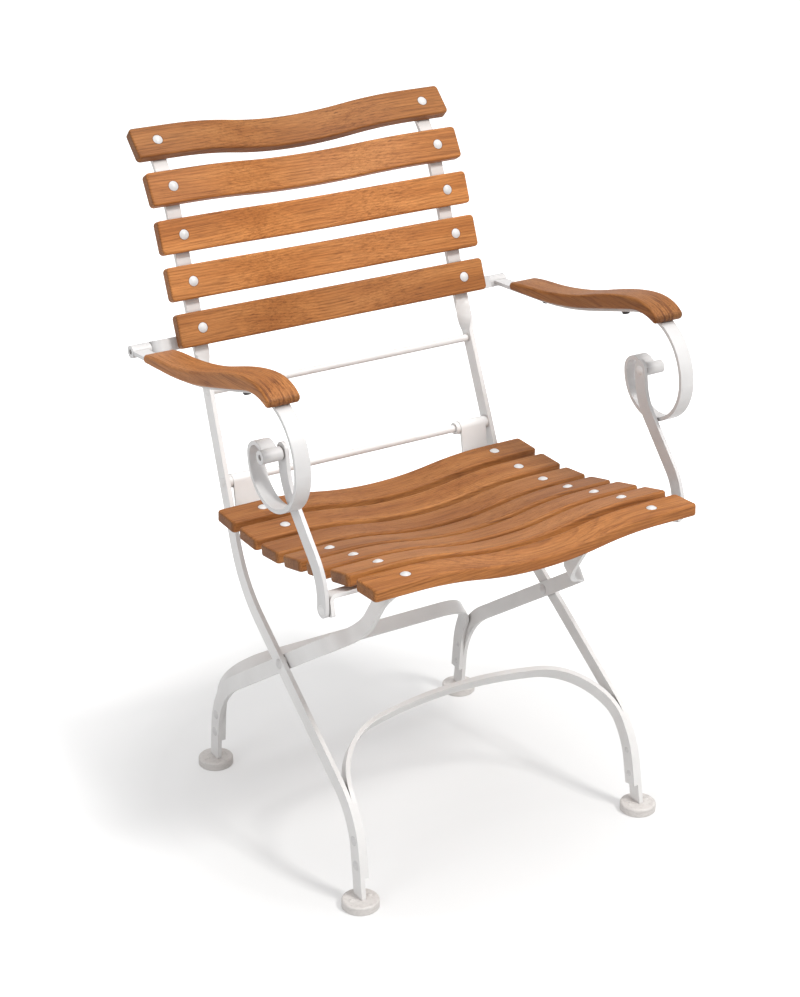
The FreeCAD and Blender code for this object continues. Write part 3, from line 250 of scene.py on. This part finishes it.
def teakMaterial(name, place, tilt, tone, rivet):
    material, tree, shader = finishMaterial("teak_" + name)
    here = coordinates(tree, "Object")
    log = mapped(tree, here, place, tilt)
    isArmrest = rivet is None

    layers = {layer: grain(tree, log, layer) for layer in ("broad", "streak", "fine", "vein", "pores")}
    layers["rings"] = growthRings(tree, log)
    layers["ends"] = facingAlong(tree, "Y" if isArmrest else "X")
    bands = [(stop, tuple(v * tone for v in teak[band])) for band, stop in teak["bands"].items()]
    colour = ramp(tree, layers["broad"], bands)
    shades = {}
    for layer, (share, stops) in teak["shades"].items():
        shades[layer] = ramp(tree, layers[layer], stops)
        colour = multiplied(tree, colour, shades[layer], share)
    # armrests take weathered grain at the nose, slats a painted shadow round their rivets
    if isArmrest:
        wearOrRivetShadow = noseShade(tree, here)
    else:
        wearOrRivetShadow = paintedRivetShadow(tree, here, teak["rivetAside"][name.split("_")[0]], rivet)
    link(tree, multiplied(tree, colour, wearOrRivetShadow, 1.0), shader.inputs["Base Color"])

    rough = ranged(tree, layers["streak"], (0.0, 1.0), teak["roughness"])
    link(tree, rough, shader.inputs["Roughness"])
    shader.inputs["Specular IOR Level"].default_value = teak["specular"]
    height = computed(tree, "MULTIPLY_ADD", layers["streak"], teak["streakHeight"], shades["pores"])
    bumped(tree, shader, height, teak["bumpStrength"], teak["bumpDepth"])
    return material


# Powder coat on all the steel: off white, with the faint orange peel of sprayed powder, and painted shade in
# its creases
coat = {
    "colour": (0.805, 0.795, 0.787),
    "shade": (0.750, 0.738, 0.729),
    "shadedCopyColour": (0.680, 0.670, 0.668),  # painted shade: a darker, cooler copy of the coat on the arms and all rivets
    "shadedCopyCloudColour": (0.620, 0.609, 0.606),
    "clouds": (14.0, 3.0, 0.55),          # scale, detail and roughness of the noise
    "cloudStops": (0.32, 0.62),
    "paintedCreviceShade": (0.50, 0.47, 0.45),        # painted shade in the creases where pieces meet
    "creviceReach": 0.006,
    "creviceRays": 8,
    "creviceStops": (0.30, 0.85),
    "creviceShare": 0.85,
    "peel": (700.0, 2.0, 0.55),
    "peelStrength": 0.25,
    "peelDepth": 0.00006,
    "roughness": (0.30, 0.44),
}


def coatMaterial(name, colour, shade):
    material, tree, shader = finishMaterial(name)
    here = coordinates(tree, "Object")
    clouds = noise(tree, here, *coat["clouds"])
    tint = ramp(tree, clouds, list(zip(coat["cloudStops"], (shade, colour))))
    # ambient occlusion darkens the base colour in creases and between pieces: painted shade
    paintedCreviceShade = put(tree, "ShaderNodeAmbientOcclusion", samples=coat["creviceRays"],
                  Distance=coat["creviceReach"])
    creviceShadeTint = ramp(tree, paintedCreviceShade.outputs["AO"], list(zip(coat["creviceStops"], (coat["paintedCreviceShade"], grey(1.0)))))
    link(tree, multiplied(tree, tint, creviceShadeTint, coat["creviceShare"]), shader.inputs["Base Color"])
    peel = noise(tree, here, *coat["peel"])
    link(tree, ranged(tree, peel, (0.0, 1.0), coat["roughness"]), shader.inputs["Roughness"])
    bumped(tree, shader, peel, coat["peelStrength"], coat["peelDepth"])
    return material


# Moulded glides under the feet
glidePlastic = {
    "colour": (0.700, 0.668, 0.645),
    "scuff": (0.600, 0.570, 0.548),
    "scuffs": (160.0, 5.0, 0.70),   # scale, detail and roughness of the noise
    "scuffFlatness": 3.0,
    "scuffStops": (0.36, 0.52),
    "roughness": 0.52,
    "bumpStrength": 0.2,
    "bumpDepth": 0.0001,
}


def glideMaterial():
    material, tree, shader = finishMaterial("glide_plastic")
    flattened = mapped(tree, coordinates(tree, "Object"), scale=(1.0, 1.0, glidePlastic["scuffFlatness"]))
    scuffs = noise(tree, flattened, *glidePlastic["scuffs"])
    colours = (glidePlastic["scuff"], glidePlastic["colour"])
    tint = ramp(tree, scuffs, list(zip(glidePlastic["scuffStops"], colours)))
    link(tree, tint, shader.inputs["Base Color"])
    shader.inputs["Roughness"].default_value = glidePlastic["roughness"]
    bumped(tree, shader, scuffs, glidePlastic["bumpStrength"], glidePlastic["bumpDepth"])
    return material


# Dark steel of the screws under the armrests
screwSteel = {
    "colour": (0.030, 0.028, 0.027),
    "wearOrRivetShadow": (0.10, 0.09, 0.085),
    "wear": (900.0, 4.0, 0.70),     # scale, detail and roughness of the noise
    "wearStops": (0.45, 0.75),
    "metallic": 0.8,
    "roughness": 0.45,
}


def screwMaterial():
    material, tree, shader = finishMaterial("screw_steel")
    wear = noise(tree, coordinates(tree, "Object"), *screwSteel["wear"])
    colours = (screwSteel["colour"], screwSteel["wearOrRivetShadow"])
    tint = ramp(tree, wear, list(zip(screwSteel["wearStops"], colours)))
    link(tree, tint, shader.inputs["Base Color"])
    shader.inputs["Metallic"].default_value = screwSteel["metallic"]
    shader.inputs["Roughness"].default_value = screwSteel["roughness"]
    return material


def dress(name, material):
    slots = nodes[name].data.materials
    if len(slots) == 0:
        slots.append(material)
    for index in range(len(slots)):
        slots[index] = material


powder = coatMaterial("powder_coat", coat["colour"], coat["shade"])
# the same coat made darker and cooler: painted shade on the arms and rivets
shadedPowder = coatMaterial("powder_coat_arms_painted_shade", coat["shadedCopyColour"], coat["shadedCopyCloudColour"])
glides = glideMaterial()
screws = screwMaterial()
for name in nodes:
    if name in teak["boards"]:
        dress(name, teakMaterial(name, *teak["boards"][name]))
    elif "foot" in name:
        dress(name, glides)
    elif name.startswith("arm_screws"):
        dress(name, screws)
    # arms and rivets take the darker copy of the coat, painted shade
    elif name.startswith("arm_") or name.endswith("rivets"):
        dress(name, shadedPowder)
    else:
        dress(name, powder)
print("materials on", len(nodes), "nodes")


# Screws under the armrests: dark pan heads that hang below the arm bars
armScrew = {
    "heads": [                      # seat on the bar's underside, and the bar's lean there
        ((0.279, -0.096792, 0.651493), 0.2627),
        ((0.279, 0.077965, 0.617743), 0.0511),
    ],
    "headRadius": 0.0052,
    "headHeight": 0.0048,
    "rim": 0.0026,
    "rimSteps": 6,
    "socketRadius": 0.0016,
    "socketDepth": 0.0018,
    "shankRadius": 0.002,
    "shankLength": 0.017,
    "sides": 32,
    "underside": -0.9,              # faces below this normal look straight down
}


def addScrew(work, seat, lean):
    # made upright at the origin, then leaned and set on the arm bar's underside
    there = set(work.verts)
    sides, radius = armScrew["sides"], armScrew["headRadius"]
    bmesh.ops.create_cone(work, cap_ends=True, segments=sides, radius1=radius, radius2=radius,
                          depth=armScrew["headHeight"])
    rim = [e for e in work.edges if all(v not in there and v.co.z < 0 for v in e.verts)]
    bmesh.ops.bevel(work, geom=rim, offset=armScrew["rim"], affect="EDGES", segments=armScrew["rimSteps"],
                    profile=0.5, material=-1)
    below = [f for f in work.faces if len(f.verts) == sides and f.normal.z < armScrew["underside"]
             and f.verts[0] not in there]
    bmesh.ops.inset_region(work, faces=below, thickness=radius - armScrew["rim"] - armScrew["socketRadius"])
    for face in bmesh.ops.extrude_discrete_faces(work, faces=below)["faces"]:
        bmesh.ops.translate(work, verts=list(face.verts), vec=(0, 0, armScrew["socketDepth"]))
    head = [v for v in work.verts if v not in there]
    bmesh.ops.translate(work, verts=head, vec=(0, 0, -armScrew["headHeight"] / 2.0))
    length, thin = armScrew["shankLength"], armScrew["shankRadius"]
    shank = bmesh.ops.create_cone(work, cap_ends=True, segments=sides // 2, radius1=thin, radius2=thin,
                                  depth=length)
    bmesh.ops.translate(work, verts=shank["verts"], vec=(0, 0, length / 2.0))
    new = [v for v in work.verts if v not in there]
    bmesh.ops.rotate(work, verts=new, matrix=Matrix.Rotation(-lean, 3, "X"))
    bmesh.ops.translate(work, verts=new, vec=seat)


def makeArmScrews(side, sign):
    work = bmesh.new()
    for (x, y, z), lean in armScrew["heads"]:
        addScrew(work, (sign * x, y, z), lean)
    bmesh.ops.recalc_face_normals(work, faces=work.faces)
    mesh = bpy.data.meshes.new("armScrewHeads_" + side)
    work.to_mesh(mesh)
    work.free()
    mesh.materials.append(screws)
    piece = bpy.data.objects.new("armScrewHeads_" + side, mesh)
    bpy.context.scene.collection.objects.link(piece)
    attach(piece, "arm_" + side)
    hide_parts("arm_screws_" + side)


for side, sign in (("left", -1), ("right", 1)):
    makeArmScrews(side, sign)
print("screws under the armrests")


# Floor, world and lamps
studio = {
    "floorSize": 30.0,
    "floorWhite": 0.62,             # the floor as the light meets it
    "shownWhite": 0.60,             # the floor as the camera sees it
    "shownGlow": (0.33, 0.95),      # what the camera adds near the chair and far from it
    "glowReach": (0.34, 0.88),
    "worldLight": 0.46,
    "worldShown": 1.0,
    "aim": (0.0, 0.0, 0.45),
    "lamps": {                      # lamp: place, size, power, colour
        "key": ((1.3, -3.3, 4.4), 0.9, 150.0, (1.0, 0.99, 0.97)),
        "top": ((0.6, -0.3, 5.4), 3.0, 103.0, (1.0, 1.0, 1.0)),
        "front": ((0.4, -5.4, 2.7), 2.4, 20.0, (1.0, 1.0, 1.0)),
        "fill": ((-4.8, -1.6, 2.6), 2.4, 60.0, (0.98, 0.99, 1.0)),
    },
}


def litOrShown(tree, lit, shown, surface):
    # one shader for the light, and another for the camera, mirrors and glass
    path = tree.nodes.new("ShaderNodeLightPath").outputs
    direct = computed(tree, "MAXIMUM", path["Is Camera Ray"], path["Is Glossy Ray"])
    mix = tree.nodes.new("ShaderNodeMixShader")
    link(tree, computed(tree, "MAXIMUM", direct, path["Is Transmission Ray"]), mix.inputs["Fac"])
    link(tree, lit.outputs[0], mix.inputs[1])
    link(tree, shown.outputs[0], mix.inputs[2])
    link(tree, mix.outputs["Shader"], surface)


def makeFloor():
    work = bmesh.new()
    bmesh.ops.create_grid(work, x_segments=1, y_segments=1, size=studio["floorSize"] / 2.0)
    mesh = bpy.data.meshes.new("floor")
    work.to_mesh(mesh)
    work.free()
    floor = bpy.data.objects.new("floor", mesh)
    bpy.context.scene.collection.objects.link(floor)
    material, tree, surface = blankMaterial("studio_floor")
    lit = put(tree, "ShaderNodeBsdfDiffuse", Color=(*grey(studio["floorWhite"]), 1.0))
    plain = put(tree, "ShaderNodeBsdfDiffuse", Color=(*grey(studio["shownWhite"]), 1.0))
    away = put(tree, "ShaderNodeVectorMath", operation="LENGTH")
    link(tree, coordinates(tree, "Object"), away.inputs[0])
    glow = put(tree, "ShaderNodeEmission", Color=(*grey(1.0), 1.0))
    strength = ranged(tree, away.outputs["Value"], studio["glowReach"], studio["shownGlow"])
    link(tree, strength, glow.inputs["Strength"])
    shown = tree.nodes.new("ShaderNodeAddShader")
    link(tree, plain.outputs["BSDF"], shown.inputs[0])
    link(tree, glow.outputs["Emission"], shown.inputs[1])
    litOrShown(tree, lit, shown, surface)
    mesh.materials.append(material)


def makeWorld():
    world = bpy.data.worlds.new("studio")
    bpy.context.scene.world = world
    world.use_nodes = True
    tree = world.node_tree
    tree.nodes.clear()
    surface = tree.nodes.new("ShaderNodeOutputWorld").inputs["Surface"]
    soft = put(tree, "ShaderNodeBackground", Color=(*grey(1.0), 1.0), Strength=studio["worldLight"])
    white = put(tree, "ShaderNodeBackground", Color=(*grey(1.0), 1.0), Strength=studio["worldShown"])
    litOrShown(tree, soft, white, surface)


def aimed(place, aim):
    dx, dy, dz = (a - p for a, p in zip(aim, place))
    return (math.atan2(math.hypot(dx, dy), -dz), 0.0, math.atan2(-dx, dy))


def makeLamps():
    for name, (place, size, power, colour) in studio["lamps"].items():
        data = bpy.data.lights.new(name, "AREA")
        data.size = size
        data.energy = power
        data.color = colour
        lamp = bpy.data.objects.new(name, data)
        lamp.location = place
        lamp.rotation_euler = aimed(place, studio["aim"])
        bpy.context.scene.collection.objects.link(lamp)


makeFloor()
makeWorld()
makeLamps()
print("floor, world and lamps")


# Camera at the photograph's angle
camera = {
    "place": (-1.4404, -2.26965, 1.5657),
    "turn": (66.83, 0.0, -32.30),
    "lens": 80.68,
    "sensor": 36.0,
}
lensData = bpy.data.cameras.new("camera")
lensData.lens = camera["lens"]
lensData.sensor_width = camera["sensor"]
viewer = bpy.data.objects.new("camera", lensData)
viewer.location = camera["place"]
viewer.rotation_euler = tuple(math.radians(v) for v in camera["turn"])
bpy.context.scene.collection.objects.link(viewer)
bpy.context.scene.camera = viewer
bpy.context.scene.view_settings.view_transform = "Standard"
print("camera")
